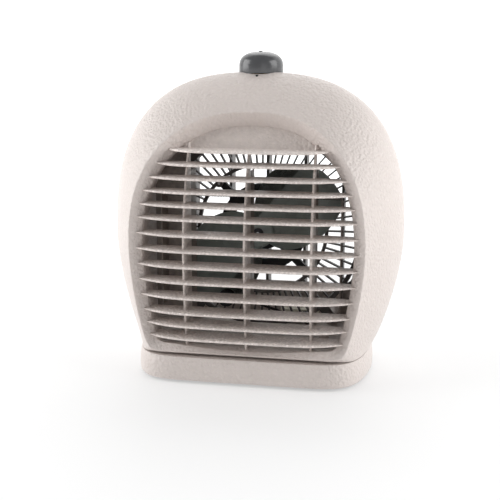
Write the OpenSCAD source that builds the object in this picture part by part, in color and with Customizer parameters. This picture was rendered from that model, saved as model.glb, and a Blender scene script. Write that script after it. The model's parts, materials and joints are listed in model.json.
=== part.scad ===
/* [Casing] */
// Width of the casing at its widest section
body_w = 246; // [240:1:252]
// Height of the casing above the floor, without the knob
body_h = 250; // [248:1:252]
// Depth from the foremost slat to the back of the casing
body_d = 146; // [146:1:150]
// Thickness of the moulded walls
wall = 2.4; // [2.2:0.1:2.6]

/* [Front grille] */
// Height of the top slat above the floor
top_slat_z = 189.4; // [188.4:0.2:190]
// Spacing of the slats near the top and the bottom
outer_pitch = 10.7; // [10.5:0.05:10.8]
// Spacing of the slats in the middle rows
middle_pitch = 12.7; // [12.4:0.1:12.8]
// Thickness of a slat
slat_t = 2; // [1.6:0.1:2.4]
// Depth of a slat from front to back at the middle
slat_depth = 24; // [20:0.5:25]
// Distance of the right-hand rib from the middle
right_rib_x = 53; // [50:0.1:54]
// Distance of the left-hand rib from the middle, which is a little less
left_rib_x = 49.3; // [48:0.1:52]
// Thickness of a rib
rib_t = 1.8; // [1.4:0.1:2.4]

/* [Knob] */
// Diameter of the selector knob
knob_d = 37; // [34:1:37]
// Height of the knob
knob_h = 17.7; // [16:0.1:18]

/* [Fan] */
// Height of the fan's axis above the floor
fan_z = 114; // [114:0.5:116]
// Radius of the blade tips
fan_r = 77; // [70:1:78]
// Depth of a blade from front to back
blade_depth = 19; // [16:0.5:19]

/* [Guard and intake] */
// Number of bars in the radial guard
guard_bars = 72; // [36:4:72]
// Spacing of the upright plates at the rear intake
intake_pitch = 34; // [32:1:35]

/* [Hidden] */
$fn = 64;

// Colours
shell_colour = [0.88, 0.84, 0.82];
grille_colour = [0.82, 0.78, 0.76];
dark_colour = [0.22, 0.24, 0.23];
black_colour = [0.07, 0.07, 0.07];
steel_colour = [0.7, 0.7, 0.72];
brass_colour = [0.78, 0.62, 0.3];
mica_colour = [0.72, 0.66, 0.55];

// Clearance between fixed pieces, running clearance of shafts, and an overrun for cuts
gap = 0.2;
running_gap = 0.05;
over = 1;

// Places along the depth
front_y = -body_d / 2;
back_y = body_d / 2;
crease_y = front_y + 9.4;
widest_y = 0;
part_y = 32;
rear_y = back_y - 5;

// Heights of the base
foot_h = 2.2;
plate_t = 2.2;
deck_z = 22;
deck_t = 2.6;

// An outline is [half width, middle height, rise, top power, flank reach, floor height, corner softness]
HALF = 0;
MID = 1;
RISE = 2;
POWER = 3;
REACH = 4;
FLOOR = 5;
SOFT = 6;
flank_power = 1.6;
belly_mid_z = 116;
crease_mid_z = 109.6;
rear_mid_z = 115;
intake_floor_z = 54;
belly = [body_w / 2, belly_mid_z, body_h - belly_mid_z, 2.6, 206, deck_z, 1];
crease = [body_w / 2 - 28.2, crease_mid_z, body_h - 30.7 - crease_mid_z, 2.4, 214, deck_z + 2.5, 12];
rear = [body_w / 2 - 25, rear_mid_z, body_h - 30 - rear_mid_z, 2.5, 198, deck_z, 1];
intake = [86, rear_mid_z, 78, 2.5, 198, intake_floor_z, 12];

// Steps of the lofted surfaces
bottom_steps = 3;
flank_steps = 12;
top_steps = 14;
corner_run = 40;
front_steps = 6;
back_rows = [10, 18, 24, part_y];
rear_rows = [part_y, 40, 49, 57, 63, rear_y];

// Front bulge of the casing, its narrowing rear and the lean of its rim
bulge_power = 1.6;
rear_power = 2.7;
lean = 28.3;
lean_start_z = 130;
lean_power = 2.5;

// Bezel band round the grille
band_w = 9;
band_drop = 8;
band_t = 2;
band_floor = 0.25;
edge_floor = 0.2;
band_crown = 1.3;
throat = 15;

// Slats, ribs and the arch panel
upper_gaps = 5;
middle_gaps = 6;
lower_gaps = 2;
slat_power = 5;
slat_steps = 12;
tip_inset = 5;
dome_z = 110;
dome_half = 80;
slat_dome = 6.5;
low_slat_dome = 1.5;
rib_dome = 22;
low_rib_dome = 16;
rib_setback = 7.8;
rib_power = 1.8;
rib_steps = 12;
rib_back_y = front_y + 34;
panel_t = 2;

// Knob, selector and index pip
knob_y = 12.5;
seat_r = knob_d / 2 + 0.6;
seat_z = body_h - 2.2;
seat_t = 2.4;
knob_z = seat_z + 0.6;
drum_h = 5.4;
dome_power = 2.5;
recess_r = 12.5;
recess_h = 5.4;
spindle_r = 3;
spindle_top_z = knob_z + 11.4;
bush_r = 5;
collar_r = 8;
collar_top_z = seat_z - seat_t - 0.3;
selector_top_z = body_h - 6.2;
selector_size = [30, 28, 16];
terminal_l = 7;
pip_r = 1.1;
pip_l = 3;
pip_y = knob_y - knob_d / 2 - 2.2;
pip_top_z = body_h - 2.4;

// Fan, guard and motor along the depth
shaft_r = 1.5;
blade_front_y = -1;
blade_back_y = blade_front_y + blade_depth;
blade_t = 1.6;
blade_steps = 10;
span_steps = 5;
hub_r = 13;
hub_front_y = 2;
hub_back_y = 20;
guard_y = 22;
guard_t = 4;
guard_in_r = 58;
guard_out_r = 84;
guard_rim = 4;
bar_t = 1.2;
can_r = 17;
can_front_y = 28;
can_back_y = 46;
can_t = 1;
cap_t = 2.5;
mount_y = 30;
mount_t = 6;
mount_in_r = 28.5;
mount_out_r = 39;
mount_angles = [45, 135, 225, 315];
step_in = 0.6;
arm_back_y = mount_y + mount_t - step_in;

// Heating element
board_t = 0.8;
board_front_y = rib_back_y + 1;
board_back_y = board_front_y + 18;
rail_back_y = board_back_y + board_t;
board_z0 = 50;
board_z1 = 172;
cross_bar_h = 4;
low_bar_z = 58.5;
high_bar_z = 148.4;
wire_y = board_front_y + 9;
wire_r = 1.2;
wire_drop = 7;
wire_end_x = 74;
wire_rows = [3 : 10];

// Fixing points, as [x, z] on upright planes and [x, y] on level ones
guard_points = [[-70, 186], [70, 186], [-62, 36], [62, 36]];
plinth_points = [[-60, -16], [60, -16], [-60, 46], [60, 46]];
plate_points = [[-74, -30], [74, -30], [-74, 44], [74, 44]];
foot_points = [[-58, -44], [58, -44], [-58, 58], [58, 58]];
mount_r = 55;
post_r = 4.2;
pilot_r = 1.3;
screw_r = 1.2;
clear_r = 1.7;
head_r = 3;
head_t = 1.8;
gland_x = 31;
gland_z = 33;
gland_r = 6;
cord_hole_r = 3.6;

// Smooth maximum, which rounds the corner where two lines cross
function soft_max(a, b, k) = (a + b + sqrt((a - b) * (a - b) + k * k)) / 2;

function mix(a, b, t) = a + (b - a) * t;

// The same outline drawn in by m, with its floor raised by m times k and its top lowered by m times c
function inset(s, m, k = 1, c = 1) =
    [s[HALF] - m, s[MID], s[RISE] - m * c, s[POWER], s[REACH], s[FLOOR] + m * k, s[SOFT]];

// The rim's crease drawn in by m across the bezel band, which is wider at the top and narrower at the floor
function band_line(m) = inset(crease, m, band_floor, band_crown);

// Half width of the lower flank at a depth d below the middle
function flank_x(s, d) = s[HALF] * pow(1 - pow(d / s[REACH], flank_power), 1 / flank_power);

// Half width of the rounded top at a height h above the middle
function crown_x(s, h) = s[HALF] * pow(1 - pow(h / s[RISE], s[POWER]), 1 / s[POWER]);

// Half width of an outline at height z
function width_at(s, z) = z > s[MID] ? crown_x(s, z - s[MID]) : flank_x(s, s[MID] - z);

// Top of an outline at a distance x from the middle
function top_at(s, x) = s[MID] + s[RISE] * pow(1 - pow(abs(x) / s[HALF], s[POWER]), 1 / s[POWER]);

// Right half of an outline, from the middle of the floor to the middle of the top
function half_ring(s) =
    let (deep = s[MID] - s[FLOOR] + corner_run)
    let (floor_z = soft_max(s[MID] - deep, s[FLOOR], s[SOFT]))
    concat(
        [for (i = [0 : bottom_steps - 1]) [flank_x(s, deep) * i / bottom_steps, floor_z]],
        [for (i = [flank_steps : -1 : 1])
            let (d = deep * i / flank_steps)
            [flank_x(s, d), soft_max(s[MID] - d, s[FLOOR], s[SOFT])]],
        [for (i = [0 : top_steps])
            let (q = 90 * i / top_steps)
            [s[HALF] * pow(cos(q), 2 / s[POWER]), s[MID] + s[RISE] * pow(sin(q), 2 / s[POWER])]]
    );

// A whole outline as a closed ring of [x, z] points
function ring(s) =
    let (h = half_ring(s))
    concat(h, [for (i = [len(h) - 2 : -1 : 1]) [-h[i][0], h[i][1]]]);

// Depth of the rim's crease, which leans back near the top
function crease_depth(z) =
    let (t = max(0, (z - lean_start_z) / (crease[MID] + crease[RISE] - lean_start_z)))
    crease_y + lean * pow(t, lean_power);

// Depth of the rim beside a point at height z on the band, drawn in by m
function rim_depth(z, m) =
    let (s = band_line(m))
    crease_depth(z > s[MID] ? s[MID] + (z - s[MID]) * crease[RISE] / s[RISE] : z);

// A ring of the front casing, from the crease at s = 0 to the widest section at s = 1
function front_row(s, m, back) =
    let (e = ring(crease), c = ring(inset(crease, m, edge_floor)), b = ring(inset(belly, m)))
    let (g = 1 - pow(1 - s, bulge_power))
    [for (i = [0 : len(c) - 1])
        let (p = mix(c[i], b[i], g))
        [p[0], mix(crease_depth(e[i][1]) + back, widest_y, s), p[1]]];

// How far the casing has narrowed at depth y behind its widest section
function narrowing(y) = pow((y - widest_y) / (rear_y - widest_y), rear_power);

// A ring behind the widest section
function rear_row(y, m) =
    let (b = ring(inset(belly, m)), r = ring(inset(rear, m)))
    [for (i = [0 : len(b) - 1])
        let (p = mix(b[i], r[i], narrowing(y)))
        [p[0], y, p[1]]];

// A flat ring at depth y
function flat_row(s, y) = [for (p = ring(s)) [p[0], y, p[1]]];

// A ring that follows the rim's crease, drawn in by m and set back by d
function crease_row(m, d) =
    let (c = ring(crease), p = ring(band_line(m)))
    [for (i = [0 : len(c) - 1]) [p[i][0], crease_depth(c[i][1]) + d, p[i][1]]];

// A ring at the back of the bezel's throat, which is deep at the sides and shallow behind the leaning top
function throat_row(m) =
    let (c = ring(crease), p = ring(band_line(m)), shallow = band_drop + 3)
    [for (i = [0 : len(c) - 1])
        [p[i][0], max(crease_depth(c[i][1]) + shallow, crease_y + band_drop + throat), p[i][1]]];

// A closed skin through rings of equal length, the last ring joined to the first
module ring_skin(rows) {
    n = len(rows[0]);
    m = len(rows);
    polyhedron(
        points = [for (r = rows) each r],
        faces = [for (j = [0 : m - 1], i = [0 : n - 1])
            let (k = (i + 1) % n, a = j * n, b = ((j + 1) % m) * n)
            each [[a + i, a + k, b + k], [a + i, b + k, b + i]]]
    );
}

// A round bar along Y
module bar_y(x, z, r, y0, y1) {
    translate([x, y0, z]) rotate([-90, 0, 0]) cylinder(r = r, h = y1 - y0);
}

// A round bar along Z
module bar_z(x, y, r, z0, z1) {
    translate([x, y, z0]) cylinder(r = r, h = z1 - z0);
}

// A round bar along X
module bar_x(y, z, r, x0, x1) {
    translate([x0, y, z]) rotate([0, 90, 0]) cylinder(r = r, h = x1 - x0);
}

// A flat ring about the fan's axis
module ring_y(r0, r1, y0, y1) {
    difference() {
        bar_y(0, fan_z, r1, y0, y1);
        bar_y(0, fan_z, r0, y0 - over, y1 + over);
    }
}

// A straight arm out from the fan's axis at an angle above the right-hand side
module arm_y(angle, w, r0, r1, y0, y1) {
    translate([0, y0, fan_z]) rotate([0, -angle, 0]) translate([r0, 0, -w / 2])
        cube([r1 - r0, y1 - y0, w]);
}

// A point on a circle about the fan's axis, as [x, z]
function around(r, angle) = [r * cos(angle), fan_z + r * sin(angle)];

// A flat plate in the upright plane, from an outline of [x, z] points, between depths y0 and y1
module upright_plate(y0, y1) {
    translate([0, y1, 0]) rotate([90, 0, 0]) linear_extrude(y1 - y0) children();
}

// A pan-head screw with the underside of its head at the origin and its shank along +Z
module screw(length) {
    translate([0, 0, -head_t]) cylinder(r = head_r, h = head_t);
    cylinder(r = screw_r, h = length);
}

// Screw bosses that hold the two casing halves together
boss_inset = 7;
boss_r = 5;
boss_front_y = part_y - 12;
boss_back_y = part_y + 3.5;
access_r = 3.4;
boss_heights = [180, 60];
function shell_x(y, z) = mix(width_at(belly, z), width_at(rear, z), narrowing(y));
casing_points = [for (z = boss_heights, side = [-1, 1]) [side * (shell_x(part_y, z) - boss_inset), z]];

module front_casing() {
    rim_back = band_t + gap;
    rim_slope = 3.2;
    steps = [for (j = [0 : front_steps]) j / front_steps];
    color(shell_colour) difference() {
        union() {
            ring_skin(concat(
                [for (s = steps) front_row(s, 0, rim_back)],
                [for (y = back_rows) rear_row(y, 0)],
                [for (i = [len(back_rows) - 1 : -1 : 0]) rear_row(back_rows[i], wall)],
                [for (i = [front_steps : -1 : 0]) front_row(steps[i], wall, rim_back + rim_slope)]
            ));
            for (p = casing_points) bar_y(p[0], p[1], boss_r, boss_front_y, part_y);
            for (i = [0, 1]) let (p = plinth_points[i]) bar_z(p[0], p[1], post_r, deck_z + 1.5, deck_z + 12);
            bar_z(0, knob_y, seat_r, seat_z - seat_t, seat_z);
        }
        bar_z(0, knob_y, seat_r, seat_z, body_h + over);
        for (p = casing_points) bar_y(p[0], p[1], pilot_r, boss_front_y + 2, part_y + over);
        for (i = [0, 1]) let (p = plinth_points[i]) bar_z(p[0], p[1], pilot_r, deck_z - over, deck_z + 10);
        bar_z(0, knob_y, bush_r + gap / 2, selector_top_z, body_h + over);
        bar_z(0, pip_y, pip_r, pip_top_z - pip_l - over, body_h + over);
    }
}

// The rear half as a closed solid drawn in by m, which trims the screw wells to its outer surface
module rear_solid(m) {
    rows = [for (y = rear_rows) rear_row(y, m)];
    n = len(rows[0]);
    last = len(rows) - 1;
    front_middle = len(rows) * n;
    back_middle = front_middle + 1;
    polyhedron(
        points = concat([for (r = rows) each r], [[0, part_y, rear_mid_z], [0, rear_y, rear_mid_z]]),
        faces = concat(
            [for (j = [0 : last - 1], i = [0 : n - 1])
                let (k = (i + 1) % n, a = j * n, b = a + n)
                each [[a + i, a + k, b + k], [a + i, b + k, b + i]]],
            [for (i = [0 : n - 1]) [(i + 1) % n, i, front_middle]],
            [for (i = [0 : n - 1]) [last * n + i, last * n + (i + 1) % n, back_middle]]
        )
    );
}

module rear_casing() {
    color(shell_colour) difference() {
        union() {
            ring_skin(concat(
                [for (y = rear_rows) rear_row(y, 0)],
                [for (i = [len(rear_rows) - 1 : -1 : 0]) rear_row(rear_rows[i], wall)]
            ));
            intersection() {
                rear_solid(wall / 2);
                for (p = casing_points) bar_y(p[0], p[1], boss_r, part_y, rear_y);
            }
            for (i = [2, 3]) let (p = plinth_points[i]) bar_z(p[0], p[1], post_r, deck_z + 1, deck_z + 8);
        }
        for (p = casing_points) {
            bar_y(p[0], p[1], clear_r, part_y - over, boss_back_y + over);
            bar_y(p[0], p[1], access_r, boss_back_y, back_y);
        }
        for (i = [2, 3]) let (p = plinth_points[i]) bar_z(p[0], p[1], pilot_r, deck_z - over, deck_z + 6);
    }
}

// Back panel: closes the rear casing round the intake and carries the posts for the guard
module back_panel() {
    wall_y = back_y - wall;
    seam_y = rear_y + running_gap;
    color(shell_colour) difference() {
        union() {
            ring_skin([
                flat_row(rear, seam_y), flat_row(inset(rear, 2), back_y - 1.4), flat_row(inset(rear, 6), back_y),
                flat_row(intake, back_y), flat_row(intake, wall_y), flat_row(inset(rear, 7), wall_y),
                flat_row(inset(rear, 4.4), wall_y - 1.4), flat_row(inset(rear, wall), seam_y)
            ]);
            for (p = guard_points) bar_y(p[0], p[1], post_r, guard_y + guard_t, back_y - 1.2);
        }
        for (p = guard_points) bar_y(p[0], p[1], pilot_r, guard_y, guard_y + 18);
        bar_y(gland_x, gland_z, gland_r + gap / 2, rear_y - 12, back_y + over);
    }
}

// Heights of the slats, close together at the top and bottom
slat_gaps = concat(
    [for (i = [1 : upper_gaps]) outer_pitch],
    [for (i = [1 : middle_gaps]) middle_pitch],
    [for (i = [1 : lower_gaps]) outer_pitch]
);
slat_count = len(slat_gaps) + 1;
function slat_z(i) = i == 0 ? top_slat_z : slat_z(i - 1) - slat_gaps[i - 1];

// Foremost point of a slat, on a shallow dome that is flatter below
function slat_front(z) = front_y + (z > dome_z ? slat_dome : low_slat_dome) * pow((z - dome_z) / dome_half, 2);

// Front of a rib, on a deeper dome
function rib_front(z) =
    let (dome = z > dome_z ? rib_dome : low_rib_dome)
    front_y + rib_setback + dome * pow(abs(z - dome_z) / dome_half, rib_power);

// Plan outline of a slat: a bowed front that runs to points on the bezel band
function slat_outline(z) =
    let (tip_x = width_at(band_line(tip_inset), z))
    let (tip_y = rim_depth(z, tip_inset) + band_drop * tip_inset / band_w + 0.2)
    let (end_x = width_at(band_line(band_w), z) + 0.6)
    let (end_y = rim_depth(z, band_w) + band_drop + 1)
    let (bow = tip_y - slat_front(z), back = max(slat_front(z) + slat_depth, end_y + 3))
    concat(
        [[-end_x, back], [-end_x, end_y]],
        [for (i = [-slat_steps : slat_steps])
            let (t = i / slat_steps)
            [tip_x * t, slat_front(z) + bow * pow(abs(t), slat_power)]],
        [[end_x, end_y], [end_x, back]]
    );

// Side outline of a rib that rises to height z1, as [y, z]
rib_z0 = deck_z + 4.4;
side_rib_z1 = top_slat_z + 5;
function rib_outline(z1) = concat(
    [for (i = [0 : rib_steps]) let (z = mix(rib_z0, z1, i / rib_steps)) [rib_front(z), z]],
    [[rib_back_y, z1], [rib_back_y, rib_z0]]
);

module rib(x, z1) {
    translate([x - rib_t / 2, 0, 0]) rotate([90, 0, 90]) linear_extrude(rib_t) polygon(rib_outline(z1));
}

// Flat panel that fills the arch above the top slat and leans back with the bezel
panel_low_z = top_slat_z - 2;
panel_low_y = front_y + 31;
panel_arch = band_line(band_w - 1);
panel_rise = panel_arch[MID] + panel_arch[RISE] - panel_low_z;
panel_lean = atan((crease_depth(crease[MID] + crease[RISE]) + band_drop - panel_low_y) / panel_rise);
panel_half = width_at(panel_arch, panel_low_z);
panel_steps = 16;
panel_outline = [for (i = [-panel_steps : panel_steps])
    let (x = panel_half * i / panel_steps)
    [x, (top_at(panel_arch, x) - panel_low_z) / cos(panel_lean)]];

module arch_panel() {
    translate([0, panel_low_y, panel_low_z]) rotate([90 - panel_lean, 0, 0]) translate([0, 0, -panel_t])
        linear_extrude(panel_t) polygon(panel_outline);
}

module front_grille() {
    color(grille_colour) union() {
        ring_skin([
            crease_row(band_w - 2.2, band_drop + band_t), throat_row(band_w - 2.6),
            throat_row(band_w + 0.6), crease_row(band_w, band_drop),
            crease_row(0, 0), crease_row(0, band_t)
        ]);
        arch_panel();
        for (i = [0 : slat_count - 1])
            translate([0, 0, slat_z(i) - slat_t / 2]) linear_extrude(slat_t) polygon(slat_outline(slat_z(i)));
        rib(0, top_slat_z);
        for (x = [-left_rib_x, right_rib_x]) rib(x, side_rib_z1);
    }
}

// Rear intake: a flat frame behind the opening and upright plates fixed to its front face
plate_w = 2.5;
plate_lap = 2;
plate_front_y = back_y - 22;
frame_t = 2.6;
frame_y = back_y - wall - gap - frame_t;
module intake_frame() {
    outer = ring(inset(intake, -3));
    inner = ring(inset(intake, 1.5));
    n = len(outer);
    color(dark_colour) upright_plate(frame_y, frame_y + frame_t)
        polygon(concat(outer, inner), [[for (i = [0 : n - 1]) i], [for (i = [0 : n - 1]) n + i]]);
}

module intake_plates() {
    low_z = intake_floor_z - plate_lap;
    color(dark_colour) for (k = [-2 : 2]) let (x = k * intake_pitch)
        translate([x - plate_w / 2, plate_front_y, low_z])
            cube([plate_w, frame_y - plate_front_y, top_at(intake, x) + plate_lap - low_z]);
}

// Plan of the base: a squarish oval, narrower towards the front and the back
base_mid_y = 1.4;
base_half_w = 100;
base_half_d = 69;
base_power = 8;
base_taper = 0.16;
base_steps = 9;
corner_share = pow(0.5, 1 / base_power);
function partner(t) = pow(1 - pow(t, base_power), 1 / base_power);
quarter_plan = concat(
    [for (i = [0 : base_steps]) let (t = corner_share * i / base_steps) [partner(t), t]],
    [for (i = [base_steps - 1 : -1 : 0]) let (t = corner_share * i / base_steps) [t, partner(t)]]
);
quarter_count = len(quarter_plan);
unit_plan = concat(
    quarter_plan,
    [for (i = [quarter_count - 2 : -1 : 0]) [-quarter_plan[i][0], quarter_plan[i][1]]],
    [for (i = [1 : quarter_count - 1]) [-quarter_plan[i][0], -quarter_plan[i][1]]],
    [for (i = [quarter_count - 2 : -1 : 1]) [quarter_plan[i][0], -quarter_plan[i][1]]]
);
function base_plan(m) = [for (p = unit_plan)
    [(base_half_w - m) * p[0] * (1 - base_taper * p[1] * p[1]), base_mid_y + (base_half_d - m) * p[1]]];

module base_tray() {
    inner_z = deck_z - deck_t;
    color(shell_colour) difference() {
        union() {
            difference() {
                translate([0, 0, foot_h]) linear_extrude(deck_z - foot_h) polygon(base_plan(0));
                linear_extrude(inner_z) polygon(base_plan(wall));
            }
            for (p = plate_points) bar_z(p[0], p[1], post_r, foot_h + plate_t + gap, inner_z + over);
        }
        for (p = plate_points) bar_z(p[0], p[1], pilot_r, foot_h, inner_z);
        for (p = plinth_points) bar_z(p[0], p[1], clear_r, inner_z - over, deck_z + over);
    }
}

stem_r = 2.5;
module base_plate() {
    color(dark_colour) difference() {
        translate([0, 0, foot_h]) linear_extrude(plate_t) polygon(base_plan(wall + gap));
        for (p = plate_points) {
            bar_z(p[0], p[1], clear_r, foot_h - over, foot_h + plate_t + over);
            bar_z(p[0], p[1], head_r + gap, foot_h - over, foot_h + 1);
        }
        for (p = foot_points) bar_z(p[0], p[1], stem_r, foot_h - over, foot_h + plate_t + over);
        for (p = plinth_points) bar_z(p[0], p[1], access_r, foot_h - over, foot_h + plate_t + over);
    }
}

module rubber_feet() {
    color(black_colour) for (p = foot_points) translate([p[0], p[1], 0]) {
        cylinder(r1 = 6.4, r2 = 7, h = foot_h);
        cylinder(r = stem_r - 0.02, h = foot_h + plate_t + 1);
    }
}

// Knob: a short drum under a full dome, hollow below, bored for the spindle
knob_steps = 12;
pointer_w = 2;
pointer_l = 5;
pointer_t = 1;
module knob() {
    r = knob_d / 2;
    dome_h = knob_h - drum_h;
    color(dark_colour) translate([0, knob_y, knob_z]) difference() {
        rotate_extrude() polygon(concat(
            [[0, 0], [r - 0.6, 0], [r, 0.6]],
            [for (i = [0 : knob_steps])
                let (q = 90 * i / knob_steps)
                [r * pow(cos(q), 2 / dome_power), drum_h + dome_h * pow(sin(q), 2 / dome_power)]]
        ));
        translate([0, 0, -over]) cylinder(r = recess_r, h = recess_h + over);
        cylinder(r = spindle_r, h = spindle_top_z - knob_z);
        translate([0, 0, knob_h - pointer_t]) pointer_shape();
    }
}

// Pointer mark on the top of the knob
module pointer_shape() {
    translate([-pointer_w / 2, -pointer_l, 0]) cube([pointer_w, pointer_l, pointer_t + 0.4]);
}

module knob_pointer() {
    color(black_colour) translate([0, knob_y, knob_z + knob_h - pointer_t]) pointer_shape();
}

module index_pip() {
    color(black_colour) bar_z(0, pip_y, pip_r, pip_top_z - pip_l, pip_top_z);
}

// Selector switch and thermostat: a box with a bush that passes through the casing
module selector_body() {
    color(black_colour) difference() {
        union() {
            translate([-selector_size[0] / 2, knob_y - selector_size[1] / 2, selector_top_z - selector_size[2]])
                cube(selector_size);
            bar_z(0, knob_y, collar_r, selector_top_z - over, collar_top_z);
            bar_z(0, knob_y, bush_r, selector_top_z - over, knob_z + 3.6);
            for (x = [-9, -3, 3, 9])
                translate([x - 2.4, knob_y - 0.4, selector_top_z - selector_size[2] - terminal_l])
                    cube([4.8, 0.8, terminal_l + over]);
        }
        bar_z(0, knob_y, spindle_r + running_gap, selector_top_z - 10, knob_z + 5);
    }
}

module selector_nut() {
    nut_r = 8;
    nut_t = 2.4;
    nut_z = seat_z + running_gap;
    color(brass_colour) difference() {
        translate([0, knob_y, nut_z]) cylinder(r = nut_r, h = nut_t, $fn = 6);
        bar_z(0, knob_y, bush_r + running_gap, nut_z - over, nut_z + nut_t + over);
    }
}

module selector_spindle() {
    color(steel_colour) bar_z(0, knob_y, spindle_r, selector_top_z - 9.8, spindle_top_z);
}

// Angles of a blade's two edges, which draw together from the hub to the tip
function lower_edge(v) = -60 + 100 * v - 22 * v * v;
function upper_edge(v) = 106 - 38 * v - 19 * pow(v, 6);

// One petal-shaped twisted blade, lofted across (u) and along its span (v)
function blade_point(u, v, side) =
    let (a = mix(lower_edge(v), upper_edge(v), u), r = mix(hub_r - 2, fan_r, v))
    let (p = around(r, a), lag = mix(0.75, 0.9, v))
    let (y = mix(blade_front_y, blade_back_y - blade_t, mix(0.5, 1 - u, lag)))
    [p[0], y + side * blade_t, p[1]];

module blade() {
    nu = blade_steps + 1;
    nv = span_steps + 1;
    layer = nu * nv;
    function at(s, i, j) = s * layer + i * nv + j;
    points = [for (s = [0, 1], i = [0 : blade_steps], j = [0 : span_steps])
        blade_point(i / blade_steps, j / span_steps, s)];
    faces = concat(
        [for (i = [0 : blade_steps - 1], j = [0 : span_steps - 1]) each [
            [at(0, i, j), at(0, i + 1, j), at(0, i + 1, j + 1)],
            [at(0, i, j), at(0, i + 1, j + 1), at(0, i, j + 1)],
            [at(1, i, j), at(1, i + 1, j + 1), at(1, i + 1, j)],
            [at(1, i, j), at(1, i, j + 1), at(1, i + 1, j + 1)]]],
        [for (i = [0 : blade_steps - 1]) each [
            [at(0, i, 0), at(1, i, 0), at(1, i + 1, 0)],
            [at(0, i, 0), at(1, i + 1, 0), at(0, i + 1, 0)],
            [at(0, i, span_steps), at(1, i + 1, span_steps), at(1, i, span_steps)],
            [at(0, i, span_steps), at(0, i + 1, span_steps), at(1, i + 1, span_steps)]]],
        [for (j = [0 : span_steps - 1]) each [
            [at(0, 0, j), at(1, 0, j + 1), at(1, 0, j)],
            [at(0, 0, j), at(0, 0, j + 1), at(1, 0, j + 1)],
            [at(0, blade_steps, j), at(1, blade_steps, j), at(1, blade_steps, j + 1)],
            [at(0, blade_steps, j), at(1, blade_steps, j + 1), at(0, blade_steps, j + 1)]]]
    );
    polyhedron(points = points, faces = faces);
}

module fan_impeller() {
    color(dark_colour) difference() {
        union() {
            bar_y(0, fan_z, hub_r, hub_front_y, hub_back_y);
            blade();
            translate([0, 0, fan_z]) rotate([0, 180, 0]) translate([0, 0, -fan_z]) blade();
        }
        bar_y(0, fan_z, shaft_r, blade_front_y - over, hub_back_y + over);
    }
}

clip_t = 2.5;
module fan_clip() {
    color(black_colour) difference() {
        bar_y(0, fan_z, 4.5, hub_front_y - clip_t, hub_front_y);
        bar_y(0, fan_z, shaft_r, hub_front_y - clip_t - over, hub_front_y + over);
    }
}

module motor_shaft() {
    color(steel_colour) bar_y(0, fan_z, shaft_r, hub_front_y - clip_t - 1, can_back_y + cap_t + 0.8);
}

// Motor: can, magnets, armature, commutator, end cap and two bushes
magnet_in_r = can_r - can_t - 3.4;
armature_r = magnet_in_r - 0.5;
motor_bush_r = 4;
commutator_r = 4;
commutator_y = can_back_y - 5;
module motor_can() {
    color(black_colour) difference() {
        bar_y(0, fan_z, can_r, can_front_y, can_back_y);
        bar_y(0, fan_z, can_r - can_t, can_front_y + can_t, can_back_y + over);
        bar_y(0, fan_z, motor_bush_r, can_front_y - over, can_front_y + can_t + over);
    }
}

module field_magnets() {
    color([0.25, 0.25, 0.27]) intersection() {
        ring_y(magnet_in_r, can_r - can_t - running_gap, can_front_y + 3, commutator_y - 2);
        for (side = [-1, 1])
            translate([side * can_r - can_r * 0.75, can_front_y, fan_z - can_r])
                cube([can_r * 1.5, can_back_y - can_front_y, can_r * 2]);
    }
}

module armature() {
    color([0.45, 0.3, 0.2]) difference() {
        bar_y(0, fan_z, armature_r, can_front_y + 4, commutator_y - 3);
        bar_y(0, fan_z, shaft_r, can_front_y, can_back_y);
        for (k = [0 : 2]) arm_y(90 + 120 * k, 2.4, 6, can_r, can_front_y + 3, commutator_y);
    }
}

module commutator() {
    color(brass_colour) difference() {
        bar_y(0, fan_z, commutator_r, commutator_y - 2.5, commutator_y + 3);
        bar_y(0, fan_z, shaft_r, can_front_y, can_back_y + over);
    }
}

module motor_end_cap() {
    color(black_colour) difference() {
        bar_y(0, fan_z, can_r, can_back_y, can_back_y + cap_t);
        bar_y(0, fan_z, motor_bush_r, can_back_y - over, can_back_y + cap_t + over);
    }
}

module motor_bush(y0, y1) {
    color(brass_colour) difference() {
        bar_y(0, fan_z, motor_bush_r, y0, y1);
        bar_y(0, fan_z, shaft_r + running_gap, y0 - over, y1 + over);
    }
}

module front_bush() {
    motor_bush(can_front_y - 1.5, can_front_y + can_t + 1);
}

module rear_bush() {
    motor_bush(can_back_y - 0.6, can_back_y + cap_t);
}

// Radial guard: two rings joined by fine bars, with ears that reach the casing's posts
function ring_points(r, n) = [for (i = [0 : n - 1]) around(r, 360 * i / n)];
function slot_points(r0, r1, k) =
    let (pitch = 360 / guard_bars)
    let (h0 = asin(bar_t / 2 / r0), h1 = asin(bar_t / 2 / r1))
    [around(r0, k * pitch + h0), around(r1, k * pitch + h1),
     around(r1, (k + 1) * pitch - h1), around(r0, (k + 1) * pitch - h0)];

module guard_web() {
    rim_n = 144;
    rim = ring_points(guard_out_r + guard_rim, rim_n);
    hole = ring_points(guard_in_r - 3, rim_n);
    slots = [for (k = [0 : guard_bars - 1]) each slot_points(guard_in_r, guard_out_r, k)];
    upright_plate(guard_y, guard_y + guard_t) polygon(
        concat(rim, hole, slots),
        concat(
            [[for (i = [0 : rim_n - 1]) i], [for (i = [0 : rim_n - 1]) rim_n + i]],
            [for (k = [0 : guard_bars - 1]) [for (i = [0 : 3]) 2 * rim_n + 4 * k + i]]
        )
    );
}

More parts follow.
